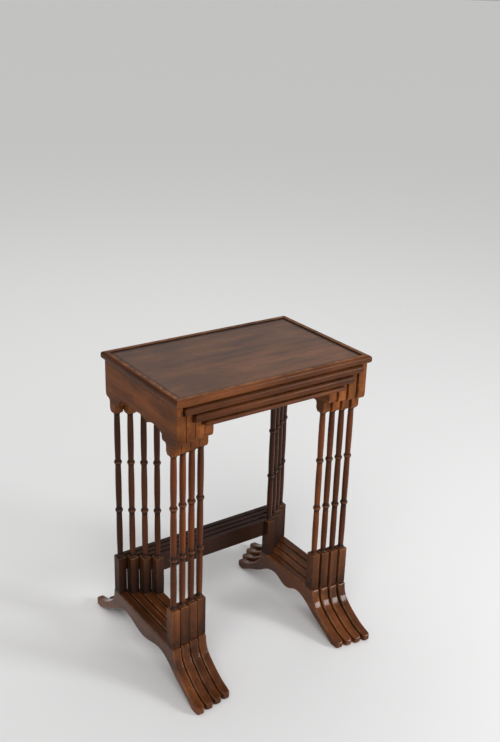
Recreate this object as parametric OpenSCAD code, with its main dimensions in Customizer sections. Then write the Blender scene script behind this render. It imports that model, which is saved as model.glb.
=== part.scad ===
// Nest of four occasional tables. Each smaller table stands inside the next larger one and
// slides out to the front, with the ends of its top in a rebate of the larger table's friezes.
// Frame: +Z up, front of the nest towards -Y, origin on the floor under the largest top's centre.

/* [Nest] */
// Width of the largest top, side to side
nest_w = 508; // [460:1:640]
// Depth of the largest top, front to back
nest_d = 330; // [300:1:420]
// Gap between the side frames of neighbouring tables
side_gap = 3.5; // [2:0.5:6]
// Gap between a top and the next smaller top under it
top_gap = 2; // [1:0.5:4]
// How much further back the front legs of each smaller table stand
front_step = 4; // [2:0.5:8]
// Gap between a stretcher and the rear blocks of the next smaller table
rear_gap = 5; // [2:0.5:10]

/* [Tops] */
// Thickness of the three larger tops at their moulded edges
top_t = 18; // [15:1:20]
// Thickness of the smallest top, the thinnest of the nest
small_top_t = 10; // [8:1:18]
// Width of the moulded edge round the board
edge_w = 15.5; // [10:0.5:20]
// Radius of the rounded corners of the moulded edge
nose_r = 6.5; // [2:0.5:7]
// Height of the moulded edge above the board
lip_h = 3; // [1:0.5:4]
// Overhang of the largest top past its friezes, at each side
side_overhang = 6; // [3:0.5:12]
// Overhang of the largest top past its friezes, front and back
end_overhang = 8; // [4:0.5:20]
// Reach of a smaller top into the rebate of the next larger frieze
tongue = 5.5; // [3:0.5:7]
// Side clearance between the end of a top and the bottom of its rebate
end_gap = 1.5; // [1:0.5:3]
// Clearance under a top in its rebate
run_gap = 1; // [0.5:0.5:2]

/* [Friezes] */
// Height of the smallest table's friezes, at their legs
small_frieze_h = 66; // [60:1:90]
// Thickness of a frieze
frieze_t = 21; // [18:0.5:26]
// From a frieze's front or back end to the middle of its leg
leg_inset = 32; // [28:0.5:38]
// Half width of the pad that seats on a leg
pad_half = 9; // [8:0.5:11]
// Height from the pad to the lowest points of the arched lower edge
arch_h = 38; // [34:0.5:44]
// From the middle of a leg to the first arch of the lower edge
shoulder_w = 31; // [28:0.5:36]
// Rise of each small arch of the lower edge
lobe_rise = 9; // [4:0.5:14]

/* [Legs] */
// Length of a turned leg between its shoulders
leg_h = 377; // [300:1:460]
// Radius of a leg at its thickest, near the middle of each length
leg_r = 7.25; // [6:0.25:8.25]
// Radius of a leg next to its rings
leg_neck_r = 6.5; // [5.2:0.1:7]
// Radius of the turned rings
ring_r = 9.25; // [8.5:0.25:9.5]
// Height of a turned ring
ring_h = 8; // [5:0.5:12]
// Radius of the turned pins at both ends of a leg
tenon_r = 4.2; // [3:0.1:4.8]
// Length of those pins
tenon_h = 14; // [8:1:20]
// Glue gap round a pin or tenon in its hole
glue_gap = 0.1; // [0.05:0.05:0.2]
// Spare depth of a pin's socket past the pin
socket_spare = 1; // [0.5:0.5:3]

/* [Feet] */
// Height of the straight upper edge of a foot rail above the floor
rail_top = 105; // [90:1:125]
// Height of the rail's two arches above the floor
rail_arch = 70; // [60:1:80]
// From the middle of a leg inwards to the crown of the rail's arch
rail_arch_in = 45; // [35:1:52]
// Drop of the rail's lower edge at its middle, below the arches
rail_bulge = 15; // [5:1:22]
// From the middle of a leg to the tip of its swept foot
foot_reach = 122; // [110:1:140]
// Height of a block between a foot rail and a leg
block_h = 98; // [80:1:120]
// Depth of a block, front to back
block_d = 24; // [20:1:28]
// Height of the rounded toe at the tip of a foot
toe_h = 18; // [14:1:22]
// Height of the board that ties the rear blocks
stretcher_h = 44; // [36:1:60]
// Thickness of that board
stretcher_t = 12; // [9:0.5:14]
// Length of the board's end tenons in the blocks
stretcher_tenon = 8; // [4:1:10]
// Wood left in a block between the tenon and the leg's socket above it
tenon_wall = 4; // [2:0.5:5]
// Shoulder of the board below its tenons
tenon_shoulder = 6; // [2:0.5:8]

/* [Hidden] */
TABLES = ["large", "second", "third", "small"];
PARTS = [
  "top_board", "top_edge", "frieze_left", "frieze_right",
  "leg_front_left", "leg_front_right", "leg_rear_left", "leg_rear_right",
  "foot_rail_left", "foot_rail_right",
  "block_front_left", "block_front_right", "block_rear_left", "block_rear_right",
  "stretcher"
];

// Small arches side by side along a frieze's lower edge
LOBES = 3;
// How far a cut runs past the face that it opens
past = 1;
// Least height of the flat between the rounded corners of a moulded edge
nose_flat = 1;

wood = [0.33, 0.19, 0.12];
wood_dark = [0.27, 0.15, 0.10];
wood_light = [0.42, 0.26, 0.17];

leg_base = rail_top + block_h;
frieze_base = leg_base + leg_h;
table_pitch = frieze_t + side_gap;
top_pitch = top_t + top_gap;
rear_step = stretcher_t + rear_gap;
last = len(TABLES) - 1;
nest_h = frieze_base + small_frieze_h + small_top_t + last * top_pitch;
top_front = -nest_d / 2;

// Places that depend on which table it is, from 0, the largest, to 3, the smallest
function top_z(i) = nest_h - i * top_pitch;
function top_thick(i) = i == last ? small_top_t : top_t;
function top_under(i) = top_z(i) - top_thick(i);
function frieze_x(i) = nest_w / 2 - side_overhang - i * table_pitch;
function leg_x(i) = frieze_x(i) - frieze_t / 2;
function top_half_w(i) = i == 0 ? nest_w / 2 : frieze_x(i) + side_gap + tongue;
function frieze_front(i) = -nest_d / 2 + end_overhang + i * front_step;
function frieze_rear(i) = nest_d / 2 - end_overhang - i * rear_step;
function leg_front(i) = frieze_front(i) + leg_inset;
function leg_rear(i) = frieze_rear(i) - leg_inset;
function top_rear(i) = frieze_rear(i) + end_overhang;

// Points of a circular arc and of a cubic curve
function arc(c, r, a0, a1, n) =
  [for (k = [0:n]) c + r * [cos(a0 + (a1 - a0) * k / n), sin(a0 + (a1 - a0) * k / n)]];
function curve(a, b, c, d, n) =
  [for (k = [0:n]) let (t = k / n, s = 1 - t)
    s * s * s * a + 3 * s * s * t * b + 3 * s * t * t * c + t * t * t * d];
// The same points from the other end
function turned(p) = [for (k = [len(p) - 1:-1:0]) p[k]];

// Puts an outline drawn in the Y-Z plane on its place and gives it thickness t from x0 inwards
module side_board(x0, t) {
  translate([x0, 0, 0])
    rotate([90, 0, 90])
      linear_extrude(height = t)
        children();
}

// Mirrors what is made on the left to the right side
module on_side(s) {
  if (s < 0) children();
  else mirror([1, 0, 0]) children();
}

/* ---------- Tops ---------- */

// Board inside the moulded edge
module top_board(i) {
  w = 2 * (top_half_w(i) - edge_w);
  d = top_rear(i) - top_front - 2 * edge_w;
  color(wood)
    translate([-w / 2, top_front + edge_w, top_under(i)])
      cube([w, d, top_thick(i) - lip_h]);
}

// Section of the moulded edge: rounded corners outside, a flat joint face inside
module edge_section(t) {
  r = min(nose_r, (t - nose_flat) / 2);
  square([edge_w - r, t]);
  translate([0, r]) square([edge_w, t - 2 * r]);
  for (y = [r, t - r])
    translate([edge_w - r, y]) circle(r = r, $fn = 48);
}

// One straight length of edge along X, mitred at both ends, nose towards -Y
module edge_length(half, t) {
  intersection() {
    translate([-half, edge_w, 0])
      rotate([90, 0, 90])
        linear_extrude(height = 2 * half)
          mirror([1, 0]) edge_section(t);
    linear_extrude(height = t)
      polygon([[-half, 0], [half, 0], [half - edge_w, edge_w], [-half + edge_w, edge_w]]);
  }
}

// Moulded edge, four mitred lengths glued round the board
module top_edge(i) {
  w = top_half_w(i);
  d = (top_rear(i) - top_front) / 2;
  mid = (top_rear(i) + top_front) / 2;
  t = top_thick(i);
  color(wood_light)
    translate([0, mid, top_under(i)]) {
      for (a = [0, 180]) rotate([0, 0, a]) translate([0, -d, 0]) edge_length(w, t);
      for (a = [90, 270]) rotate([0, 0, a]) translate([0, -w, 0]) edge_length(d, t);
    }
}

/* ---------- Friezes ---------- */

// Hole for a leg's pin, drawn from just outside the face that it opens, upwards
module socket() {
  cylinder(r = tenon_r + glue_gap, h = tenon_h + socket_spare + past, $fn = 32);
}

// Shaped end of a frieze, from its pad outwards: x from the leg's middle, y above the pad
function frieze_end() = let (collar = pad_half + 4)
  concat(
    curve([pad_half, 0], [pad_half, 4], [collar, 4], [collar, 9], 4),
    curve([collar, 20], [collar, 26], [collar + 2, 29], [collar + 6, 30], 4),
    curve([leg_inset - 7, 31], [leg_inset - 2, 32], [leg_inset, 38], [leg_inset, 46], 6));

// The same end on the side of the arches, from its pad inwards to the first arch
function frieze_shoulder() = let (
    collar = pad_half + 4,
    ledge = arch_h - 13)
  concat(
    curve([pad_half, 0], [pad_half, 4], [collar, 4], [collar, 9], 4),
    curve([collar, ledge - 8], [collar, ledge - 3], [collar + 2, ledge], [collar + 5, ledge], 3),
    curve([shoulder_w - 6, ledge], [shoulder_w - 2, ledge], [shoulder_w, ledge + 6], [shoulder_w, arch_h], 4));

// The small arches between two places on a frieze's lower edge
function lobes(y0, y1) = let (
    w = (y1 - y0) / LOBES,
    r = (w * w / 4 + lobe_rise * lobe_rise) / (2 * lobe_rise),
    half = asin(w / 2 / r))
  [for (k = [0:LOBES - 1])
    each arc([y0 + (k + 0.5) * w, frieze_base + arch_h + lobe_rise - r], r, 90 + half, 90 - half, 8)];

module frieze_outline(i) {
  top = top_under(i);
  front = leg_front(i);
  rear = leg_rear(i);
  polygon(concat(
    [[frieze_front(i), top]],
    [for (p = turned(frieze_end())) [front - p.x, frieze_base + p.y]],
    [for (p = frieze_shoulder()) [front + p.x, frieze_base + p.y]],
    lobes(front + shoulder_w, rear - shoulder_w),
    [for (p = turned(frieze_shoulder())) [rear - p.x, frieze_base + p.y]],
    [for (p = frieze_end()) [rear + p.x, frieze_base + p.y]],
    [[frieze_rear(i), top]]));
}

// Side frieze with arched lower edge, two leg sockets, and the rebate for the next smaller top
module frieze(i) {
  outer = -frieze_x(i);
  inner = outer + frieze_t;
  rebate_d = tongue + end_gap;
  rebate_h = top_gap + top_thick(i + 1) + run_gap;
  difference() {
    side_board(outer, frieze_t) frieze_outline(i);
    if (i < last)
      translate([inner - rebate_d, -nest_d, top_under(i) - rebate_h])
        cube([rebate_d + past, 2 * nest_d, rebate_h + past]);
    for (y = [leg_front(i), leg_rear(i)])
      translate([-leg_x(i), y, frieze_base - past]) socket();
  }
}

module frieze_left(i) { color(wood) on_side(-1) frieze(i); }
module frieze_right(i) { color(wood) on_side(1) frieze(i); }

/* ---------- Legs ---------- */

// Half-round bead of the turned leg, centred at height z: x is the radius
function bead(z) = let (
    r = ring_h / 2,
    c = ring_r - r,
    a = acos((leg_neck_r - c) / r))
  arc([c, z], r, -a, a, 8);

// One gently swelled length of the leg between heights z0 and z1
function swell(z0, z1) =
  curve([leg_neck_r, z0], [leg_r + 0.3, z0 + (z1 - z0) * 0.3], [leg_r + 0.3, z1 - (z1 - z0) * 0.3],
    [leg_neck_r, z1], 8);

// Turned leg in three equal lengths parted by two rings, with a collar and a pin at each end
module leg(x, y) {
  third = leg_h / 3;
  collar_r = ring_r - 0.5;
  collar_h = 4;
  gap = ring_h / 2 + 1;
  translate([x, y, leg_base])
    rotate_extrude($fn = 48)
      polygon(concat(
        [[0, -tenon_h], [tenon_r, -tenon_h], [tenon_r, 0], [collar_r, 0], [collar_r, 1.5]],
        [[collar_r - 0.8, collar_h - 1], [leg_neck_r + 0.4, collar_h]],
        swell(collar_h + 4, third - gap),
        bead(third),
        swell(third + gap, 2 * third - gap),
        bead(2 * third),
        swell(2 * third + gap, leg_h - collar_h - 3),
        [[leg_neck_r + 0.4, leg_h - collar_h], [collar_r - 0.8, leg_h - collar_h + 1]],
        [[collar_r, leg_h - 1.5], [collar_r, leg_h], [tenon_r, leg_h], [tenon_r, leg_h + tenon_h]],
        [[0, leg_h + tenon_h]]));
}

module leg_front_left(i) { color(wood_light) leg(-leg_x(i), leg_front(i)); }
module leg_front_right(i) { color(wood_light) leg(leg_x(i), leg_front(i)); }
module leg_rear_left(i) { color(wood) leg(-leg_x(i), leg_rear(i)); }
module leg_rear_right(i) { color(wood) leg(leg_x(i), leg_rear(i)); }

/* ---------- Feet ---------- */

// One end of a foot rail, from the middle of its lower edge round the swept foot to the upper edge.
// x is outwards from the middle of the leg, y above the floor; mid is the middle of the rail.
function rail_end(mid) = let (
    low = rail_arch - rail_bulge,
    crown = -rail_arch_in,
    ease = 0.4 * (mid - rail_arch_in),
    tip = foot_reach,
    toe = tip - 8,
    edge = block_d / 2 + 3)
  concat(
    curve([-mid, low], [-mid + ease, low], [crown - ease, rail_arch], [crown, rail_arch], 8),
    curve([crown, rail_arch], [-14, rail_arch], [4, 48], [tip - 92, 35], 8),
    curve([tip - 92, 35], [tip - 68, 23], [tip - 44, 12], [tip - 26, 0], 7),
    [[toe, 0]],
    curve([toe, 0], [tip - 2, 0], [tip, 4], [tip, toe_h / 2], 4),
    curve([tip, toe_h / 2], [tip, toe_h - 3], [tip - 3, toe_h], [toe, toe_h], 4),
    curve([toe, toe_h], [tip - 30, toe_h + 4], [tip - 52, 32], [tip - 82, 55], 8),
    curve([tip - 82, 55], [tip - 97, 67], [edge + 4, 78], [edge + 3, rail_top - 10], 6),
    curve([edge + 3, rail_top - 10], [edge + 3, rail_top - 3], [edge + 1, rail_top], [edge - 3, rail_top], 4));

module rail_outline(i) {
  mid = (leg_rear(i) - leg_front(i)) / 2;
  end = rail_end(mid);
  polygon(concat(
    [for (p = end) [leg_rear(i) + p.x, p.y]],
    [for (p = turned(end)) [leg_front(i) - p.x, p.y]]));
}

// Foot rail with a swept foot at each end, sawn from one board as thick as the frieze
module foot_rail(i) {
  side_board(-frieze_x(i), frieze_t) rail_outline(i);
}

module foot_rail_left(i) { color(wood) on_side(-1) foot_rail(i); }
module foot_rail_right(i) { color(wood) on_side(1) foot_rail(i); }

// Block between foot rail and leg, with the leg's socket in its top
module block(i, y) {
  translate([-frieze_x(i), y - block_d / 2, rail_top])
    difference() {
      cube([frieze_t, block_d, block_h]);
      translate([frieze_t / 2, block_d / 2, block_h - tenon_h - socket_spare]) socket();
    }
}

// Tenon of the stretcher in the block on the left, or its mortise, larger all round by g
module stretcher_joint(i, g) {
  inner = -frieze_x(i) + frieze_t;
  rear = leg_rear(i) + block_d / 2;
  h = stretcher_h - tenon_shoulder - tenon_wall - tenon_h - socket_spare;
  t = stretcher_t / 2;
  translate([
      inner - stretcher_tenon - g,
      rear - (stretcher_t + t) / 2 - g,
      leg_base - stretcher_h + tenon_shoulder - g])
    cube([stretcher_tenon + 2 * g, t + 2 * g, h + 2 * g]);
}

module block_rear(i) {
  difference() {
    block(i, leg_rear(i));
    stretcher_joint(i, glue_gap);
  }
}

module block_front_left(i) { color(wood) on_side(-1) block(i, leg_front(i)); }
module block_front_right(i) { color(wood) on_side(1) block(i, leg_front(i)); }
module block_rear_left(i) { color(wood_dark) on_side(-1) block_rear(i); }
module block_rear_right(i) { color(wood_dark) on_side(1) block_rear(i); }

// Board that ties the two rear blocks, flush with their backs and tops
module stretcher(i) {
  half = frieze_x(i) - frieze_t;
  color(wood_dark) {
    translate([-half, leg_rear(i) + block_d / 2 - stretcher_t, leg_base - stretcher_h])
      cube([2 * half, stretcher_t, stretcher_h]);
    for (s = [-1, 1]) on_side(s) stretcher_joint(i, 0);
  }
}

for (i = [0:last]) {
  top_board(i);
  top_edge(i);
  frieze_left(i);
  frieze_right(i);
  leg_front_left(i);
  leg_front_right(i);
  leg_rear_left(i);
  leg_rear_right(i);
  foot_rail_left(i);
  foot_rail_right(i);
  block_front_left(i);
  block_front_right(i);
  block_rear_left(i);
  block_rear_right(i);
  stretcher(i);
}
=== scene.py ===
import math

import bmesh
import bpy
from mathutils import Matrix, Vector


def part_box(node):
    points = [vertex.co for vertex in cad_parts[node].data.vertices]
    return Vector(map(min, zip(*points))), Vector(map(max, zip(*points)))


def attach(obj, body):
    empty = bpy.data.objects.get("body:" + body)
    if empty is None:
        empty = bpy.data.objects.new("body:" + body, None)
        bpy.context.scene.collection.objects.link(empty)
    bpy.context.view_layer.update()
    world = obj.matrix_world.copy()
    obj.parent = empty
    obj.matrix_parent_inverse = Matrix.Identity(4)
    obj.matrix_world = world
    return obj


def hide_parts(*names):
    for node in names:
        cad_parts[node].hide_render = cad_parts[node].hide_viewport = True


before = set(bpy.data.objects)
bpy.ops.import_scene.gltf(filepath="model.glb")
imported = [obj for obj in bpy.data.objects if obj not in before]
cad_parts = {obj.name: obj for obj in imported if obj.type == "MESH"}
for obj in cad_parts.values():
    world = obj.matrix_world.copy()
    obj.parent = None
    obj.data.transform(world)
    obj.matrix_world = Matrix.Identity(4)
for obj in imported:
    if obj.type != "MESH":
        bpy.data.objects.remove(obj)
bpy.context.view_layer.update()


# ---------- Camera, floor and light ----------
# The nest stands on a pale seamless floor. A wide soft sun from the front left lights the wood, a
# tall panel at the front right puts bright bands on the swept feet, and one behind lifts the floor.

CAMERA_PLACE = Vector((-1.1232, -1.6307, 1.4688))
CAMERA_TURN = math.radians(-35.42)
CAMERA_PITCH = math.radians(21.86)
CAMERA_ROLL = math.radians(1.85)
CAMERA_LENS = 46.17
SENSOR_WIDTH = 36
FRONT_PANEL_COLOUR = (0.96, 0.98, 1)
SUN_FROM = Vector((-0.55, -0.75, 1.1))
SUN_STRENGTH = 1.1
SUN_ANGLE = math.radians(40)
ROOM_STRENGTH = 0.4
FLOOR_RADIUS = 400
FLOOR_COLOUR = (0.82, 0.815, 0.81, 1)
FLOOR_ROUGHNESS = 0.9
FLOOR_SHINE = 0.1

scene = bpy.context.scene


def camera_axes(turn, pitch, roll):
    """Columns of a camera that looks down by pitch, turned about Z and rolled about its own axis."""
    flat = math.cos(pitch)
    ahead = Vector((-math.sin(turn) * flat, math.cos(turn) * flat, -math.sin(pitch)))
    level = ahead.cross(Vector((0, 0, 1))).normalized()
    upright = level.cross(ahead)
    right = level * math.cos(roll) + upright * math.sin(roll)
    up = upright * math.cos(roll) - level * math.sin(roll)
    return Matrix((right, up, -ahead)).transposed()


camera = bpy.data.objects.new("camera", bpy.data.cameras.new("camera"))
camera.data.lens = CAMERA_LENS
camera.data.sensor_width = SENSOR_WIDTH
camera.matrix_world = Matrix.LocRotScale(
    CAMERA_PLACE, camera_axes(CAMERA_TURN, CAMERA_PITCH, CAMERA_ROLL).to_quaternion(), None)
scene.collection.objects.link(camera)
scene.camera = camera
scene.view_settings.view_transform = "Standard"


def soft_panel(name, place, target, width, height, watts, colour=(1, 1, 1)):
    """A rectangular soft light that faces a target."""
    light = bpy.data.lights.new(name, "AREA")
    light.shape = "RECTANGLE"
    light.size, light.size_y = width, height
    light.energy, light.color = watts, colour
    panel = bpy.data.objects.new(name, light)
    panel.location = place
    panel.rotation_euler = (Vector(target) - Vector(place)).to_track_quat("-Z", "Y").to_euler()
    scene.collection.objects.link(panel)


soft_panel("front_panel", (1.85, -2.45, 1.25), (0, -0.1, 0.3), width=0.7, height=1.3, watts=58,
           colour=FRONT_PANEL_COLOUR)
soft_panel("overhead_panel", (0.6, 1.6, 3.4), (0.2, 0.9, 0), width=3.2, height=2.6, watts=24)

daylight = bpy.data.lights.new("daylight", "SUN")
daylight.energy = SUN_STRENGTH
daylight.angle = SUN_ANGLE
daylight_lamp = bpy.data.objects.new("daylight", daylight)
daylight_lamp.rotation_euler = SUN_FROM.to_track_quat("Z", "Y").to_euler()
scene.collection.objects.link(daylight_lamp)

world = bpy.data.worlds.new("pale_room")
world.use_nodes = True
room_light = world.node_tree.nodes["Background"]
room_light.inputs["Color"].default_value = (1, 1, 1, 1)
room_light.inputs["Strength"].default_value = ROOM_STRENGTH
scene.world = world

floor_bm = bmesh.new()
bmesh.ops.create_circle(floor_bm, cap_ends=True, segments=96, radius=FLOOR_RADIUS)
floor_mesh = bpy.data.meshes.new("floor")
floor_bm.to_mesh(floor_mesh)
floor_bm.free()
floor = bpy.data.objects.new("floor", floor_mesh)
scene.collection.objects.link(floor)
floor_paint = bpy.data.materials.new("floor_paint")
floor_paint.use_nodes = True
floor_shader = floor_paint.node_tree.nodes["Principled BSDF"]
floor_shader.inputs["Base Color"].default_value = FLOOR_COLOUR
floor_shader.inputs["Roughness"].default_value = FLOOR_ROUGHNESS
floor_shader.inputs["Specular IOR Level"].default_value = FLOOR_SHINE
floor_mesh.materials.append(floor_paint)


# ---------- Tops: boards ----------
# Each top is a flat hardwood board with its grain along the width, sawn, planed and French polished. Its rim
# is eased where it meets the raised moulding, and a band along that groove is painted dark: painted shade
# where the moulding's lip shadows the board.

TABLES = ["large", "second", "third", "small"]
MERGE = 1e-6
SAME_PLACE = 1e-5
NEARLY = 1e-4
BEVEL_ANGLE = math.radians(32)
CREASE_ANGLE = math.radians(40)
BOARD_STEP = 0.618
BOARD_SHIFT = (17.3, 9.1, 5.7)
TONE_SCATTER = 7.31
TONE_LOW, TONE_HIGH = 0.72, 1.22
GRAIN_RELIEF = 0.0008
COAT_ROUGHNESS = 0.16
BARE_PORE = (0.012, 0.006, 0.004, 1)
OLD_STAIN = (0.022, 0.009, 0.005, 1)
# The dark colour that is mixed in as painted shade.
SHADE_COLOUR = (0.010, 0.006, 0.005, 1)
BOARD_EASE = 0.0007
# Width of the painted shade along the moulding, and of its fade.
GROOVE_SHADE = 0.0045
SHADE_FADE = 0.0035

pieces_made = 0


def link(tree, source, target):
    """Joins two sockets of a node tree."""
    tree.links.new(source, target)


def new_group(name, inputs, outputs):
    """An empty shader group with named sockets, its input node and its output node."""
    group = bpy.data.node_groups.new(name, "ShaderNodeTree")
    for socket, kind, value in inputs:
        made = group.interface.new_socket(socket, in_out="INPUT", socket_type="NodeSocket" + kind)
        if value is not None:
            made.default_value = value
    for socket, kind in outputs:
        group.interface.new_socket(socket, in_out="OUTPUT", socket_type="NodeSocket" + kind)
    return group, group.nodes.new("NodeGroupInput"), group.nodes.new("NodeGroupOutput")


def noise(group, vector, stretch, detail, roughness=0.55, distortion=0.0):
    """Noise on a stretched copy of a vector; gives its value from 0 to 1."""
    stretched = group.nodes.new("ShaderNodeVectorMath")
    stretched.operation = "MULTIPLY"
    stretched.inputs[1].default_value = stretch
    link(group, vector, stretched.inputs[0])
    texture = group.nodes.new("ShaderNodeTexNoise")
    texture.inputs["Scale"].default_value = 1
    texture.inputs["Detail"].default_value = detail
    texture.inputs["Roughness"].default_value = roughness
    texture.inputs["Distortion"].default_value = distortion
    link(group, stretched.outputs[0], texture.inputs["Vector"])
    return texture.outputs["Fac"]


def ramp(group, value, low, high, out_low=0.0, out_high=1.0):
    """Value spread from low..high to out_low..out_high, and held at both ends."""
    node = group.nodes.new("ShaderNodeMapRange")
    node.inputs["From Min"].default_value = low
    node.inputs["From Max"].default_value = high
    node.inputs["To Min"].default_value = out_low
    node.inputs["To Max"].default_value = out_high
    link(group, value, node.inputs["Value"])
    return node.outputs["Result"]


def calc(group, operation, a, b):
    """One Math node; a and b are sockets or plain numbers."""
    node = group.nodes.new("ShaderNodeMath")
    node.operation = operation
    for socket, value in zip(node.inputs, (a, b)):
        if isinstance(value, (int, float)):
            socket.default_value = value
        else:
            link(group, value, socket)
    return node.outputs[0]


def mix_colour(group, share, a, b, blend="MIX"):
    """Colour a turned into b by a share; a and b are sockets or plain colours."""
    node = group.nodes.new("ShaderNodeMix")
    node.data_type = "RGBA"
    node.blend_type = blend
    sockets = {s.identifier: s for s in node.inputs}
    for key, value in (("Factor_Float", share), ("A_Color", a), ("B_Color", b)):
        if isinstance(value, (int, float, tuple)):
            sockets[key].default_value = value
        else:
            link(group, value, sockets[key])
    return [s for s in node.outputs if s.identifier == "Result_Color"][0]


def attribute(group, name):
    """One of the values that the mesh carries: worn, painted shade or board."""
    node = group.nodes.new("ShaderNodeAttribute")
    node.attribute_name = name
    return node.outputs["Fac"]


def make_grain_group():
    """Hardwood figure along X: broad dark stripes, fine fibres and short pores, each board its own."""
    group, given, result = new_group(
        "wood_grain",
        [("Vector", "Vector", None), ("Light", "Color", (0.2, 0.1, 0.05, 1)),
         ("Dark", "Color", (0.05, 0.02, 0.01, 1))],
        [("Color", "Color"), ("Pores", "Float"), ("Height", "Float")])
    board = attribute(group, "board")
    shift = group.nodes.new("ShaderNodeVectorMath")
    shift.operation = "MULTIPLY_ADD"
    spread = group.nodes.new("ShaderNodeCombineXYZ")
    for socket in spread.inputs:
        link(group, board, socket)
    link(group, spread.outputs[0], shift.inputs[0])
    shift.inputs[1].default_value = BOARD_SHIFT
    link(group, given.outputs["Vector"], shift.inputs[2])
    place = shift.outputs[0]
    figure = ramp(group, noise(group, place, (0.9, 11, 11), 2, 0.5, 0.4), 0.32, 0.68)
    stripe = ramp(group, noise(group, place, (1.6, 58, 58), 3, 0.5, 0.2), 0.36, 0.66)
    fibre = ramp(group, noise(group, place, (6, 260, 260), 2, 0.5), 0.3, 0.7)
    pores = ramp(group, noise(group, place, (30, 800, 800), 1, 0.5), 0.62, 0.74)
    depth = calc(group, "ADD", calc(group, "MULTIPLY", figure, 0.5), calc(group, "MULTIPLY", stripe, 0.34))
    depth = calc(group, "ADD", depth, calc(group, "MULTIPLY", fibre, 0.16))
    colour = mix_colour(group, depth, given.outputs["Light"], given.outputs["Dark"])
    own_tone = calc(group, "FRACT", calc(group, "MULTIPLY", board, TONE_SCATTER), 0)
    tone = ramp(group, own_tone, 0, 1, TONE_LOW, TONE_HIGH)
    bright = group.nodes.new("ShaderNodeVectorMath")
    bright.operation = "SCALE"
    link(group, colour, bright.inputs[0])
    link(group, tone, bright.inputs["Scale"])
    dark_pores = calc(group, "MULTIPLY", pores, 0.4)
    link(group, mix_colour(group, dark_pores, bright.outputs[0], BARE_PORE), result.inputs["Color"])
    link(group, pores, result.inputs["Pores"])
    raised, sunk = calc(group, "MULTIPLY", fibre, 0.015), calc(group, "MULTIPLY", pores, 0.05)
    link(group, calc(group, "SUBTRACT", raised, sunk), result.inputs["Height"])
    return group


def make_polish_group():
    """Old French polish: pale on rubbed edges, painted shade in grooves, necks and joints, stains, smears
    and soft waves.
    """
    group, given, result = new_group(
        "old_polish",
        [("Vector", "Vector", None), ("Color", "Color", (0.1, 0.05, 0.03, 1)), ("Pores", "Float", 0.0),
         ("Rubbed", "Color", (0.3, 0.15, 0.07, 1)), ("Roughness", "Float", 0.3)],
        [("Color", "Color"), ("Roughness", "Float"), ("Height", "Float")])
    place = given.outputs["Vector"]
    patches = ramp(group, noise(group, place, (46, 46, 46), 4, 0.65), 0.36, 0.62)
    worn = calc(group, "MULTIPLY", attribute(group, "worn"), patches)
    painted_shade = attribute(group, "painted_shade")
    uneven = ramp(group, noise(group, place, (80, 80, 80), 3), 0.25, 0.6, 0.45, 1)
    shade_amount = calc(group, "MULTIPLY", painted_shade, uneven)
    rubbed = mix_colour(
        group, calc(group, "MULTIPLY", worn, 0.75), given.outputs["Color"], given.outputs["Rubbed"])
    patina = ramp(group, noise(group, place, (7, 19, 19), 4, 0.6), 0.36, 0.62)
    aged = mix_colour(group, calc(group, "MULTIPLY", patina, 0.55), rubbed, OLD_STAIN)
    # Painted shade: the dark colour is mixed in where the mesh marks shade, broken up by noise.
    shaded = mix_colour(group, calc(group, "MULTIPLY", shade_amount, 0.85), aged, SHADE_COLOUR)
    link(group, shaded, result.inputs["Color"])
    smears = ramp(group, noise(group, place, (9, 22, 22), 5, 0.62, 0.6), 0.35, 0.7, -0.05, 0.1)
    gloss = calc(group, "ADD", given.outputs["Roughness"], smears)
    gloss = calc(group, "ADD", gloss, calc(group, "MULTIPLY", given.outputs["Pores"], 0.2))
    gloss = calc(group, "ADD", gloss, calc(group, "MULTIPLY", shade_amount, 0.3))
    gloss = calc(group, "SUBTRACT", gloss, calc(group, "MULTIPLY", worn, 0.05))
    link(group, gloss, result.inputs["Roughness"])
    waves = noise(group, place, (5, 14, 14), 2)
    link(group, calc(group, "MULTIPLY", waves, 0.5), result.inputs["Height"])
    return group


grain_group = make_grain_group()
polish_group = make_polish_group()
GRAIN_TURN = {
    "X": (0, 0, 0),
    "Y": (0, 0, math.radians(-90)),
    "Z": (0, math.radians(90), 0)}


def polished_wood(name, grain, light, dark, rubbed, roughness, coat=0.03, shine=0.1):
    """Hardwood with its grain along one axis, under old satin polish; shine is its bare reflection."""
    wood = bpy.data.materials.new(name)
    wood.use_nodes = True
    tree = wood.node_tree
    shader = tree.nodes["Principled BSDF"]
    coords = tree.nodes.new("ShaderNodeTexCoord")
    turn = tree.nodes.new("ShaderNodeMapping")
    turn.inputs["Rotation"].default_value = GRAIN_TURN[grain]
    link(tree, coords.outputs["Object"], turn.inputs["Vector"])
    figure = tree.nodes.new("ShaderNodeGroup")
    figure.node_tree = grain_group
    polish = tree.nodes.new("ShaderNodeGroup")
    polish.node_tree = polish_group
    for node in (figure, polish):
        link(tree, turn.outputs["Vector"], node.inputs["Vector"])
    figure.inputs["Light"].default_value = (*light, 1)
    figure.inputs["Dark"].default_value = (*dark, 1)
    polish.inputs["Rubbed"].default_value = (*rubbed, 1)
    polish.inputs["Roughness"].default_value = roughness
    link(tree, figure.outputs["Color"], polish.inputs["Color"])
    link(tree, figure.outputs["Pores"], polish.inputs["Pores"])
    link(tree, polish.outputs["Color"], shader.inputs["Base Color"])
    link(tree, polish.outputs["Roughness"], shader.inputs["Roughness"])
    relief = tree.nodes.new("ShaderNodeBump")
    relief.inputs["Strength"].default_value = 1
    relief.inputs["Distance"].default_value = GRAIN_RELIEF
    height = calc(tree, "ADD", figure.outputs["Height"], polish.outputs["Height"])
    link(tree, height, relief.inputs["Height"])
    link(tree, relief.outputs["Normal"], shader.inputs["Normal"])
    shader.inputs["Specular IOR Level"].default_value = shine
    shader.inputs["Coat Weight"].default_value = coat
    shader.inputs["Coat Roughness"].default_value = COAT_ROUGHNESS
    return wood


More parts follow.
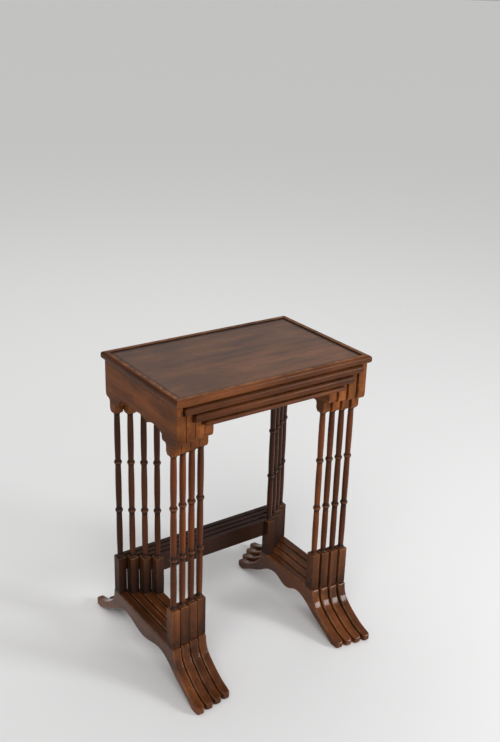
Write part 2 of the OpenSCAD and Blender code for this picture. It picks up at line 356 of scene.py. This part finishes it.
def blank_piece():
    """An empty bmesh with the three values that the wood reads: worn, painted shade and board."""
    bm = bmesh.new()
    for layer in ("worn", "painted_shade", "board"):
        bm.verts.layers.float.new(layer)
    return bm


def box_mesh(low, high):
    """A bmesh box between two corners."""
    bm = blank_piece()
    bmesh.ops.create_cube(bm, size=1)
    bmesh.ops.scale(bm, vec=high - low, verts=bm.verts)
    bmesh.ops.translate(bm, vec=(low + high) / 2, verts=bm.verts)
    return bm


def ease_edges(bm, width, pick=lambda edge: True, segments=3):
    """Rounds the sharp edges that pick names, and marks the middle of each rounding as worn."""
    bm.normal_update()
    sharp = [edge for edge in bm.edges if edge.calc_face_angle(0) > BEVEL_ANGLE and pick(edge)]
    made = bmesh.ops.bevel(
        bm, geom=sharp, offset=width, offset_type="OFFSET", segments=segments, profile=0.5,
        affect="EDGES", material=-1, clamp_overlap=True)
    rounded = set(made["faces"])
    worn = bm.verts.layers.float["worn"]
    for vert in {vert for face in rounded for vert in face.verts}:
        if all(face in rounded for face in vert.link_faces):
            vert[worn] = 1


def finish_piece(bm, name, table, nodes, wood):
    """Turns a bmesh into a piece of one table, with its own board number for the grain."""
    global pieces_made
    pieces_made += 1
    board = bm.verts.layers.float["board"]
    for vert in bm.verts:
        vert[board] = pieces_made * BOARD_STEP % 1
    for face in bm.faces:
        face.smooth = True
    bm.normal_update()
    for edge in bm.edges:
        edge.smooth = edge.calc_face_angle(0) < CREASE_ANGLE
    mesh = bpy.data.meshes.new(name)
    bm.to_mesh(mesh)
    bm.free()
    mesh.materials.append(wood)
    piece = bpy.data.objects.new(name, mesh)
    scene.collection.objects.link(piece)
    normals = piece.modifiers.new("even_faces", "WEIGHTED_NORMAL")
    normals.weight = 100
    normals.keep_sharp = True
    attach(piece, table + "_table")
    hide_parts(*nodes)
    return piece


top_board_wood = polished_wood(
    "top_board_wood", "X", light=(0.215, 0.080, 0.029), dark=(0.078, 0.027, 0.010),
    rubbed=(0.25, 0.12, 0.06), roughness=0.28, coat=0.05, shine=0.4)
for table in TABLES:
    low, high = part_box(table + "_top_board")
    bm = box_mesh(low, high)
    ease_edges(bm, BOARD_EASE, lambda edge: min(v.co.z for v in edge.verts) > high.z - SAME_PLACE)
    face = max(bm.faces, key=lambda f: f.calc_area() if f.normal.z > 0.9 else 0)
    bmesh.ops.inset_region(bm, faces=[face], thickness=GROOVE_SHADE, use_even_offset=True)
    bmesh.ops.inset_region(bm, faces=[face], thickness=SHADE_FADE, use_even_offset=True)
    # Painted shade: the board's rim along the moulding is painted dark, full over the first inset and fading
    # out over the second, for the shadow of the moulding's lip.
    painted_shade = bm.verts.layers.float["painted_shade"]
    for vert in bm.verts:
        inside = min(vert.co.x - low.x, high.x - vert.co.x, vert.co.y - low.y, high.y - vert.co.y)
        vert[painted_shade] = 1 if inside < GROOVE_SHADE + SHADE_FADE / 2 else 0
    name = table + "_top_board"
    finish_piece(bm, name, table, [name], top_board_wood)


# ---------- Tops: mouldings ----------
# A thumb moulding stands a little proud round each board. It is four lengths of the same wood,
# planed to a rounded nose, mitred at the corners and glued to the board's edges.

NOSE_RADIUS = 0.0065
NOSE_FLAT = 0.001
INNER_RADIUS = 0.0012
MITRE_GAP = 0.00015


def arc(cx, cy, radius, start, end, steps):
    """Points of a circular arc, angles in degrees."""
    angles = [math.radians(start + (end - start) * k / steps) for k in range(steps + 1)]
    return [(cx + radius * math.cos(a), cy + radius * math.sin(a)) for a in angles]


def extrude_outline(points, axis_start, length, place):
    """A solid from an outline: place(along, u, v) turns a point of the outline into a corner."""
    bm = blank_piece()
    face = bm.faces.new([bm.verts.new(place(axis_start, u, v)) for u, v in points])
    grown = bmesh.ops.extrude_face_region(bm, geom=[face])
    moved = [v for v in grown["geom"] if isinstance(v, bmesh.types.BMVert)]
    bmesh.ops.translate(bm, verts=moved, vec=place(length, 0, 0) - place(0, 0, 0))
    bmesh.ops.recalc_face_normals(bm, faces=bm.faces)
    return bm


def moulding_length(half, depth, width, thickness):
    """One mitred length along X, its nose at y = -depth, half as long as the table is there."""
    nose = min(NOSE_RADIUS, (thickness - NOSE_FLAT) / 2)
    profile = [(width, 0)]
    profile += arc(nose, nose, nose, 270, 180, 7)
    profile += arc(nose, thickness - nose, nose, 180, 90, 7)
    profile += arc(width - INNER_RADIUS, thickness - INNER_RADIUS, INNER_RADIUS, 90, 0, 3)
    bm = extrude_outline(
        profile, -half, 2 * half, lambda along, u, v: Vector((along, u - depth, v)))
    for side in (-1, 1):
        geometry = list(bm.verts) + list(bm.edges) + list(bm.faces)
        cut = bmesh.ops.bisect_plane(
            bm, geom=geometry, dist=MERGE, plane_co=(side * (half - MITRE_GAP), -depth, 0),
            plane_no=Vector((side, 1, 0)).normalized(), clear_outer=True)
        rim = [e for e in cut["geom_cut"] if isinstance(e, bmesh.types.BMEdge)]
        bmesh.ops.holes_fill(bm, edges=rim, sides=0)
    bmesh.ops.recalc_face_normals(bm, faces=bm.faces)
    painted_shade = bm.verts.layers.float["painted_shade"]
    worn = bm.verts.layers.float["worn"]
    for vert in bm.verts:
        inside = vert.co.y + depth
        if vert.co.z > thickness - NEARLY and nose - NEARLY < inside < width - NEARLY:
            vert[worn] = 1
        # Painted shade under the moulding, over the gap above the next top, and on its inner face above the
        # board.
        if vert.co.z < NEARLY or (vert.co.z > thickness / 2 and inside > width - NEARLY):
            vert[painted_shade] = 1
    return bm


MOULDING_SIDES = {"front": 0, "right": 90, "rear": 180, "left": 270}
moulding_woods = {
    axis: polished_wood(
        "moulding_wood_" + axis.lower(), axis, light=(0.235, 0.074, 0.022),
        dark=(0.040, 0.012, 0.0045), rubbed=(0.36, 0.16, 0.07), roughness=0.28, coat=0.02, shine=0.06)
    for axis in "XY"}
for table in TABLES:
    low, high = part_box(table + "_top_edge")
    rim_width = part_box(table + "_top_board")[0].y - low.y
    half_w, half_d = (high.x - low.x) / 2, (high.y - low.y) / 2
    for side, angle in MOULDING_SIDES.items():
        lengthwise = angle % 180 == 0
        along, across = (half_w, half_d) if lengthwise else (half_d, half_w)
        bm = moulding_length(along, across, rim_width, high.z - low.z)
        turn = Matrix.Rotation(math.radians(angle), 3, "Z")
        bmesh.ops.rotate(bm, cent=(0, 0, 0), matrix=turn, verts=bm.verts)
        middle = ((low.x + high.x) / 2, (low.y + high.y) / 2, low.z)
        bmesh.ops.translate(bm, vec=middle, verts=bm.verts)
        finish_piece(bm, f"{table}_moulding_{side}", table, [table + "_top_edge"],
                     moulding_woods["X" if lengthwise else "Y"])


# ---------- Side friezes ----------
# Each top is carried by two deep boards with their grain front to back. The lower edge is sawn
# in small arches between shaped pads, and the legs are pinned into those pads. All but the
# smallest table's have a rebate along the inner top corner, where the next smaller top runs.

SIDES = {"left": -1, "right": 1}
PAD_HALF = 0.009
PAD_HEIGHT = 0.009
COLLAR = 0.013
ARCH_HEIGHT = 0.038
LEDGE_DROP = 0.013
SHOULDER = 0.031
LOBES = 3
LOBE_RISE = 0.009
FRIEZE_EASE = 0.0009
REBATE_SIDE_GAP = 0.0015
REBATE_FLOOR_GAP = 0.001
OUTLINE_SIDES = 20


def curve(a, b, c, d, steps):
    """Points of a cubic curve from a to d, with b and c as its handles."""
    points = []
    for k in range(steps + 1):
        t = k / steps
        s = 1 - t
        points.append(tuple(
            s * s * s * a[i] + 3 * s * s * t * b[i] + 3 * s * t * t * c[i] + t * t * t * d[i]
            for i in (0, 1)))
    return points


def without_doubles(points):
    """The points with no two neighbours in one place."""
    return [p for k, p in enumerate(points) if math.dist(p, points[k - 1]) > SAME_PLACE]


def frieze_pad():
    """Side of the pad, from its foot out to the collar."""
    return curve((PAD_HALF, 0), (PAD_HALF, 0.004), (COLLAR, 0.004), (COLLAR, PAD_HEIGHT), 6)


def frieze_outer_end(inset):
    """Shaped end from the pad outwards: distance from the leg, height above the pad."""
    return (
        frieze_pad()
        + curve((COLLAR, 0.020), (COLLAR, 0.026), (COLLAR + 0.002, 0.029), (COLLAR + 0.006, 0.030), 6)
        + curve((inset - 0.007, 0.031), (inset - 0.002, 0.032), (inset, 0.038), (inset, 0.046), 9))


def frieze_inner_end():
    """The same end on the side of the arches, up to the first arch."""
    ledge = ARCH_HEIGHT - LEDGE_DROP
    return (
        frieze_pad()
        + curve((COLLAR, ledge - 0.008), (COLLAR, ledge - 0.003), (COLLAR + 0.002, ledge),
                (COLLAR + 0.005, ledge), 5)
        + curve((SHOULDER - 0.006, ledge), (SHOULDER - 0.002, ledge), (SHOULDER, ledge + 0.006),
                (SHOULDER, ARCH_HEIGHT), 6))


def lobes(start, end):
    """Small arches side by side between two places."""
    width = (end - start) / LOBES
    radius = (width * width / 4 + LOBE_RISE * LOBE_RISE) / (2 * LOBE_RISE)
    half = math.degrees(math.asin(width / 2 / radius))
    centre_up = ARCH_HEIGHT + LOBE_RISE - radius
    points = []
    for k in range(LOBES):
        points += arc(start + (k + 0.5) * width, centre_up, radius, 90 + half, 90 - half, 12)
    return points


def frieze_outline(low, high, front_leg, rear_leg):
    """Outline in Y and Z, from the top front corner round the lower edge to the top rear corner."""
    inset = front_leg - low.y
    outer, inner = frieze_outer_end(inset), frieze_inner_end()
    points = [(low.y, high.z)]
    points += [(front_leg - out, low.z + up) for out, up in reversed(outer)]
    points += [(front_leg + out, low.z + up) for out, up in inner]
    points += [(y, low.z + up) for y, up in lobes(front_leg + SHOULDER, rear_leg - SHOULDER)]
    points += [(rear_leg - out, low.z + up) for out, up in reversed(inner)]
    points += [(rear_leg + out, low.z + up) for out, up in outer]
    points += [(high.y, high.z)]
    return without_doubles(points)


def leg_middle(table, place):
    """Middle of a turned leg, in X and Y."""
    low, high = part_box(f"{table}_leg_{place}")
    return (low.x + high.x) / 2, (low.y + high.y) / 2


def inner_face(bm, x):
    """The large outlined face of a board at one place along X."""
    return [f for f in bm.faces
            if abs(f.calc_center_median().x - x) < SAME_PLACE and len(f.verts) > OUTLINE_SIDES][0]


def frieze_mesh(low, high, outward, legs_y, rebate_depth, rebate_floor):
    """The outline given its thickness, the part above the rebate's floor only up to the rebate."""
    outer_x = high.x if outward > 0 else low.x
    thickness = high.x - low.x
    outline = frieze_outline(low, high, *legs_y)
    upper = thickness - rebate_depth
    bm = extrude_outline(
        outline, 0, upper, lambda along, u, v: Vector((outer_x - outward * along, u, v)))
    if rebate_depth:
        inner_x = outer_x - outward * upper
        face = inner_face(bm, inner_x)
        bmesh.ops.bisect_plane(
            bm, geom=[face, *face.edges, *face.verts], dist=MERGE,
            plane_co=(0, 0, rebate_floor), plane_no=(0, 0, 1))
        lower = inner_face(bm, inner_x)
        grown = bmesh.ops.extrude_face_region(bm, geom=[lower])
        moved = [v for v in grown["geom"] if isinstance(v, bmesh.types.BMVert)]
        bmesh.ops.translate(bm, verts=moved, vec=(-outward * rebate_depth, 0, 0))
        bmesh.ops.delete(bm, geom=[lower], context="FACES_ONLY")
        bmesh.ops.recalc_face_normals(bm, faces=bm.faces)
    return bm


frieze_wood = polished_wood(
    "frieze_wood", "Y", light=(0.410, 0.130, 0.034), dark=(0.115, 0.032, 0.008),
    rubbed=(0.30, 0.12, 0.05), roughness=0.32, coat=0.02, shine=0.05)
next_smaller = dict(zip(TABLES, TABLES[1:]))
for table in TABLES:
    for side, outward in SIDES.items():
        name = f"{table}_frieze_{side}"
        low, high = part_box(name)
        legs_y = [leg_middle(table, place)[1] for place in ("front_" + side, "rear_" + side)]
        rebate_depth, rebate_floor = 0, 0
        if table in next_smaller:
            edge_low, edge_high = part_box(next_smaller[table] + "_top_edge")
            inner_x = low.x if outward > 0 else -high.x
            rebate_depth = edge_high.x + REBATE_SIDE_GAP - inner_x
            rebate_floor = edge_low.z - REBATE_FLOOR_GAP
        bm = frieze_mesh(low, high, outward, legs_y, rebate_depth, rebate_floor)
        ease_edges(bm, FRIEZE_EASE, lambda edge: min(v.co.z for v in edge.verts) < high.z - NEARLY)
        finish_piece(bm, name, table, [name], frieze_wood)


# ---------- Turned legs ----------
# Sixteen slim legs turned in one piece each, with the grain along the leg. Two rings part a leg
# into three gently swelled lengths, a collar seats it at each end, and pins hold it in its sockets.

LEG_RADIUS = 0.00725
NECK_RADIUS = 0.0065
RING_RADIUS = 0.00925
RING_HEIGHT = 0.008
FILLET = 0.001
COLLAR_RADIUS = 0.00875
COLLAR_HEIGHT = 0.004
PIN_LENGTH = 0.014
LEG_STEPS = 40
SWELL_EXTRA = 0.0003
RING_CREST = 0.0006
# How far inside the collar's radius a neck is painted full shade.
NECK_SHADE_DEPTH = 0.0008


def ring(z):
    """Turned ring with a small fillet on both sides: radius, height."""
    bead = RING_HEIGHT / 2
    start = RING_RADIUS - bead
    reach = math.degrees(math.acos((NECK_RADIUS + FILLET - start) / bead))
    low, high = z - bead - FILLET, z + bead + FILLET
    return (
        [(NECK_RADIUS, low - FILLET), (NECK_RADIUS + FILLET, low)]
        + arc(start, z, bead, -reach, reach, 10)
        + [(NECK_RADIUS + FILLET, high), (NECK_RADIUS, high + FILLET)])


def swell(start, end):
    """Gently swelled length of a leg between two heights; the curve stays a little inside full."""
    full = LEG_RADIUS + SWELL_EXTRA
    handle = (end - start) * 0.3
    return curve(
        (NECK_RADIUS, start), (full, start + handle), (full, end - handle), (NECK_RADIUS, end), 14)


def collar(foot, up):
    """Collar that seats the leg, from the joint towards the leg: foot is the joint, up is 1 or -1."""
    return [
        (COLLAR_RADIUS - 0.0004, foot), (COLLAR_RADIUS, foot + up * 0.0004),
        (COLLAR_RADIUS, foot + up * 0.0014), (COLLAR_RADIUS - 0.0006, foot + up * 0.0024),
        (NECK_RADIUS + 0.0008, foot + up * 0.0032),
        (NECK_RADIUS + 0.0002, foot + up * COLLAR_HEIGHT)]


def leg_profile(low, high):
    """Half section of a leg between its two joints."""
    third = (high - low) / 3
    margin = RING_HEIGHT / 2 + 3 * FILLET
    points = [(0, low)] + collar(low, 1)
    for k in range(3):
        start = low + k * third + (margin if k else 2 * COLLAR_HEIGHT)
        end = low + (k + 1) * third - (margin if k < 2 else 2 * COLLAR_HEIGHT)
        points += swell(start, end)
        if k < 2:
            points += ring(low + (k + 1) * third)
    return without_doubles(points + list(reversed(collar(high, -1))) + [(0, high)])


def leg_mesh(x, y, low, high):
    """The half section spun round the leg's axis, with worn rings and painted shade in the necks beside the
    rings and collars.
    """
    bm = blank_piece()
    verts = [bm.verts.new((r, 0, z)) for r, z in leg_profile(low, high)]
    edges = [bm.edges.new(pair) for pair in zip(verts, verts[1:])]
    bmesh.ops.spin(
        bm, geom=verts + edges, cent=(0, 0, 0), axis=(0, 0, 1), angle=2 * math.pi,
        steps=LEG_STEPS, use_merge=True)
    bmesh.ops.remove_doubles(bm, verts=bm.verts, dist=MERGE)
    bmesh.ops.recalc_face_normals(bm, faces=bm.faces)
    worn, painted_shade = bm.verts.layers.float["worn"], bm.verts.layers.float["painted_shade"]
    rings = [low + (high - low) * k / 3 for k in (1, 2)]
    for vert in bm.verts:
        radius = math.hypot(vert.co.x, vert.co.y)
        to_ring = min(abs(vert.co.z - z) for z in rings)
        to_joint = min(vert.co.z - low, high - vert.co.z)
        if radius > RING_RADIUS - RING_CREST:
            vert[worn] = 0.5
        # Painted shade: the necks beside each ring and by the collars are painted dark, darkest where they
        # are thinnest.
        beside_ring = RING_HEIGHT / 2 - FILLET < to_ring < RING_HEIGHT / 2 + 3 * FILLET
        if beside_ring or to_joint < 2 * COLLAR_HEIGHT:
            vert[painted_shade] = 1 if radius < COLLAR_RADIUS - NECK_SHADE_DEPTH else 0.5
    bmesh.ops.translate(bm, vec=(x, y, 0), verts=bm.verts)
    return bm


PLACES = ["front_left", "front_right", "rear_left", "rear_right"]

leg_wood = polished_wood(
    "leg_wood", "Z", light=(0.225, 0.056, 0.011), dark=(0.030, 0.008, 0.0025),
    rubbed=(0.30, 0.12, 0.045), roughness=0.24, coat=0.1)
# A darker copy of the leg wood for the rear legs: painted shade, as they stand back inside the nest.
shaded_rear_leg_wood = polished_wood(
    "shaded_rear_leg_wood", "Z", light=(0.115, 0.034, 0.011), dark=(0.020, 0.006, 0.003),
    rubbed=(0.26, 0.10, 0.04), roughness=0.26, coat=0.1)
for table in TABLES:
    for place in PLACES:
        name = f"{table}_leg_{place}"
        low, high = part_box(name)
        x, y = leg_middle(table, place)
        bm = leg_mesh(x, y, low.z + PIN_LENGTH, high.z - PIN_LENGTH)
        finish_piece(bm, name, table, [name],
                     leg_wood if place.startswith("front") else shaded_rear_leg_wood)


# ---------- Foot rails ----------
# A rail under each pair of legs, sawn from one board and swept out into a foot at both ends. The
# lower edge has two arches and a drop between them. Its corners are rounded over by hand.

ANKLE = 0.003
TOE_LENGTH = 0.008
TOE_HEIGHT = 0.018
TOE_ROUNDING = 0.014
RAIL_ARCH = 0.070
RAIL_DROP = 0.015
ARCH_INWARDS = 0.045
RAIL_EASE = 0.0034


def rail_end(middle, reach, block_half, rail_top):
    """Half a rail from the middle of its lower edge round the foot: distance past the leg, height."""
    low = RAIL_ARCH - RAIL_DROP
    crown = -ARCH_INWARDS
    ease = 0.4 * (middle - ARCH_INWARDS)
    edge = block_half + ANKLE
    toe = reach - TOE_LENGTH
    return (
        curve((-middle, low), (-middle + ease, low), (crown - ease, RAIL_ARCH), (crown, RAIL_ARCH), 12)
        + curve((crown, RAIL_ARCH), (-0.014, RAIL_ARCH), (0.004, 0.048), (reach - 0.092, 0.035), 12)
        + curve((reach - 0.092, 0.035), (reach - 0.068, 0.023), (reach - 0.044, 0.012),
                (reach - 0.026, 0), 10)
        + [(toe, 0)]
        + curve((toe, 0), (reach - 0.002, 0), (reach, 0.004), (reach, TOE_HEIGHT / 2), 6)
        + curve((reach, TOE_HEIGHT / 2), (reach, TOE_HEIGHT - 0.003), (reach - 0.003, TOE_HEIGHT),
                (toe, TOE_HEIGHT), 6)
        + curve((toe, TOE_HEIGHT), (reach - 0.030, TOE_HEIGHT + 0.004), (reach - 0.052, 0.032),
                (reach - 0.082, 0.055), 14)
        + curve((reach - 0.082, 0.055), (reach - 0.097, 0.067), (edge + 0.004, 0.078),
                (edge + 0.003, rail_top - 0.010), 10)
        + curve((edge + 0.003, rail_top - 0.010), (edge + 0.003, rail_top - 0.003), (edge + 0.001, rail_top),
                (edge - 0.003, rail_top), 6))


def round_toes(bm, middle_x, front, rear):
    """Narrows the tips of both feet to a round end, seen from above."""
    for vert in bm.verts:
        from_tip = min(vert.co.y - front, rear - vert.co.y)
        if from_tip < TOE_ROUNDING and vert.co.z < 2 * TOE_HEIGHT:
            short = 1 - from_tip / TOE_ROUNDING
            vert.co.x = middle_x + (vert.co.x - middle_x) * math.sqrt(1 - 0.8 * short * short)


foot_rail_wood = polished_wood(
    "foot_rail_wood", "Y", light=(0.200, 0.060, 0.017), dark=(0.026, 0.008, 0.003),
    rubbed=(0.31, 0.13, 0.05), roughness=0.14, coat=0.13, shine=0.11)
for table in TABLES:
    for side in SIDES:
        name = f"{table}_foot_rail_{side}"
        low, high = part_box(name)
        block_low, block_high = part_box(f"{table}_block_front_{side}")
        front_leg, rear_leg = (leg_middle(table, place + side)[1] for place in ("front_", "rear_"))
        block_half = (block_high.y - block_low.y) / 2
        end = rail_end((rear_leg - front_leg) / 2, high.y - rear_leg, block_half, high.z)
        outline = without_doubles(
            [(rear_leg + out, up) for out, up in end]
            + [(front_leg - out, up) for out, up in reversed(end)])
        bm = extrude_outline(
            outline, low.x, high.x - low.x, lambda along, u, v: Vector((along, u, v)))
        ease_edges(bm, RAIL_EASE)
        round_toes(bm, (low.x + high.x) / 2, low.y, high.y)
        finish_piece(bm, name, table, [name], foot_rail_wood)


# ---------- Leg blocks ----------
# Square blocks, glued upright on the rails, each with a socket for a leg in its top. The top
# edges are chamfered towards the leg and the upright edges are only just eased.

BLOCK_TOP_EASE = 0.0022
BLOCK_EASE = 0.0008
LONG_EDGE = 0.05

block_wood = polished_wood(
    "block_wood", "Z", light=(0.275, 0.088, 0.026), dark=(0.054, 0.016, 0.005),
    rubbed=(0.28, 0.12, 0.05), roughness=0.3)
# A darker copy of the block wood for the rear blocks: painted shade, deep inside the nest.
shaded_rear_block_wood = polished_wood(
    "shaded_rear_block_wood", "Z", light=(0.120, 0.042, 0.015), dark=(0.022, 0.008, 0.004),
    rubbed=(0.22, 0.09, 0.04), roughness=0.32)
for table in TABLES:
    for place in PLACES:
        name = f"{table}_block_{place}"
        low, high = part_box(name)
        bm = box_mesh(low, high)
        ease_edges(
            bm, BLOCK_TOP_EASE, lambda edge: min(v.co.z for v in edge.verts) > high.z - SAME_PLACE)
        ease_edges(
            bm, BLOCK_EASE, lambda edge: abs(edge.verts[0].co.z - edge.verts[1].co.z) > LONG_EDGE)
        # Painted shade: each block is painted darker towards its foot, where it meets the rail.
        painted_shade = bm.verts.layers.float["painted_shade"]
        for vert in bm.verts:
            vert[painted_shade] = 1 if vert.co.z < low.z + SAME_PLACE else 0
        finish_piece(bm, name, table, [name],
                     block_wood if place.startswith("front") else shaded_rear_block_wood)


# ---------- Stretchers ----------
# A plain board ties the two rear blocks of each table, flush with their backs and tops. It has tenons at
# both ends, glued in mortises. Its wood is painted much darker than the rest: painted shade for its place at
# the back, under the tops.

STRETCHER_EASE = 0.0010

# Much darker than the other woods: painted shade for the stretcher at the back, under the tops.
stretcher_wood = polished_wood(
    "stretcher_wood", "X", light=(0.048, 0.018, 0.011), dark=(0.014, 0.006, 0.004),
    rubbed=(0.20, 0.09, 0.05), roughness=0.33)
for table in TABLES:
    name = table + "_stretcher"
    low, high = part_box(name)
    low.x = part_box(table + "_block_rear_left")[1].x
    high.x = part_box(table + "_block_rear_right")[0].x
    bm = box_mesh(low, high)
    ease_edges(
        bm, STRETCHER_EASE, lambda edge: abs(edge.verts[0].co.x - edge.verts[1].co.x) > LONG_EDGE)
    finish_piece(bm, name, table, [name], stretcher_wood)
